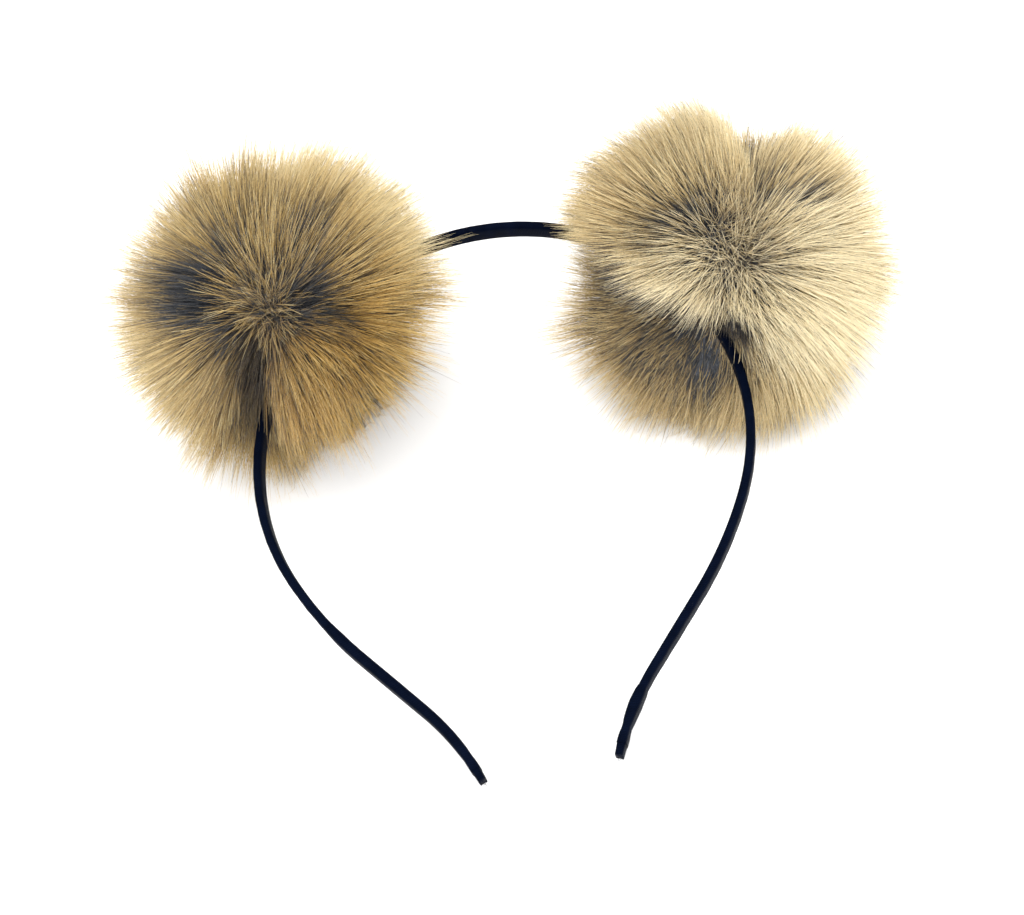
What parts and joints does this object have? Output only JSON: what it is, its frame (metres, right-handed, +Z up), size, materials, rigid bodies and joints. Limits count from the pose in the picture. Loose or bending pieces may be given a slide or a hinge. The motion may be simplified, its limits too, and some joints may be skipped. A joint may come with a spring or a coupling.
{
  "type": "animal ears headband",
  "caption": "Springy satin-covered headband with a round fur pompom on each side as ears.",
  "frame": {"origin": "middle of the crown's inner face, where the band rests on the head", "axes": "+X to the right seen from the tips' side, +Y from the tips towards the crown, +Z up from the table the headband lies on"},
  "size_m": [0.2106, 0.1828, 0.0859],
  "materials": {
    "spring_strip": "bare spring steel strip, hidden in the sleeve",
    "satin": "near-black navy satin ribbon, fine weave with a soft sheen",
    "thread": "black elastic and sewing thread",
    "pelt": "tanned skin side of a fur pelt",
    "fibre": "loose white polyester fibre",
    "golden_fur": "dense agouti fur, slate roots, golden tan middle, cream and black tips",
    "cream_fur": "dense agouti fur, slate roots, golden tan and pale cream tips"
  },
  "bodies": {
    "crown": {"crown_strip": "spring_strip", "crown_sleeve": "satin"},
    "left_side": {"left_strip": "spring_strip", "left_sleeve": "satin", "left_end_wrap": "satin", "left_tip": "satin"},
    "left_tie": {"left_loop": "thread", "left_knot": "thread"},
    "left_pompom": {"left_fur": "golden_fur", "left_pelt": "pelt", "left_stuffing": "fibre", "left_drawstring": "thread"},
    "right_side": {"right_strip": "spring_strip", "right_sleeve": "satin", "right_end_wrap": "satin", "right_tip": "satin"},
    "right_tie": {"right_loop": "thread", "right_knot": "thread"},
    "right_pompom": {"right_fur": "cream_fur", "right_pelt": "pelt", "right_stuffing": "fibre", "right_drawstring": "thread"}
  },
  "joints": [
    {"name": "left_flex", "type": "hinge", "parent": "crown", "child": "left_side", "pos_m": [-0.01435, -0.00046, -0.00012], "axis": [0, 0.2588, -0.9659], "range_deg": [-3, 20], "stiffness_Nm_per_rad": 1},
    {"name": "left_rock", "type": "hinge", "parent": "left_side", "child": "left_tie", "pos_m": [-0.04769, -0.01849, -0.00496], "axis": [-0.6947, -0.6948, -0.1862], "range_deg": [-10, 10]},
    {"name": "left_twist", "type": "hinge", "parent": "left_tie", "child": "left_pompom", "pos_m": [-0.05201, -0.01447, -0.00388], "axis": [-0.7193, 0.671, 0.1798], "range_deg": [-10, 10]},
    {"name": "right_flex", "type": "hinge", "parent": "crown", "child": "right_side", "pos_m": [0.01435, -0.00046, -0.00012], "axis": [0, -0.2588, 0.9659], "range_deg": [-3, 20], "stiffness_Nm_per_rad": 1},
    {"name": "right_rock", "type": "hinge", "parent": "right_side", "child": "right_tie", "pos_m": [0.0556, -0.0281, -0.00753], "axis": [0.5446, -0.8101, -0.2171], "range_deg": [-10, 10]},
    {"name": "right_twist", "type": "hinge", "parent": "right_tie", "child": "right_pompom", "pos_m": [0.06064, -0.02494, -0.00668], "axis": [0.8387, 0.5261, 0.141], "range_deg": [-10, 10]}
  ]
}
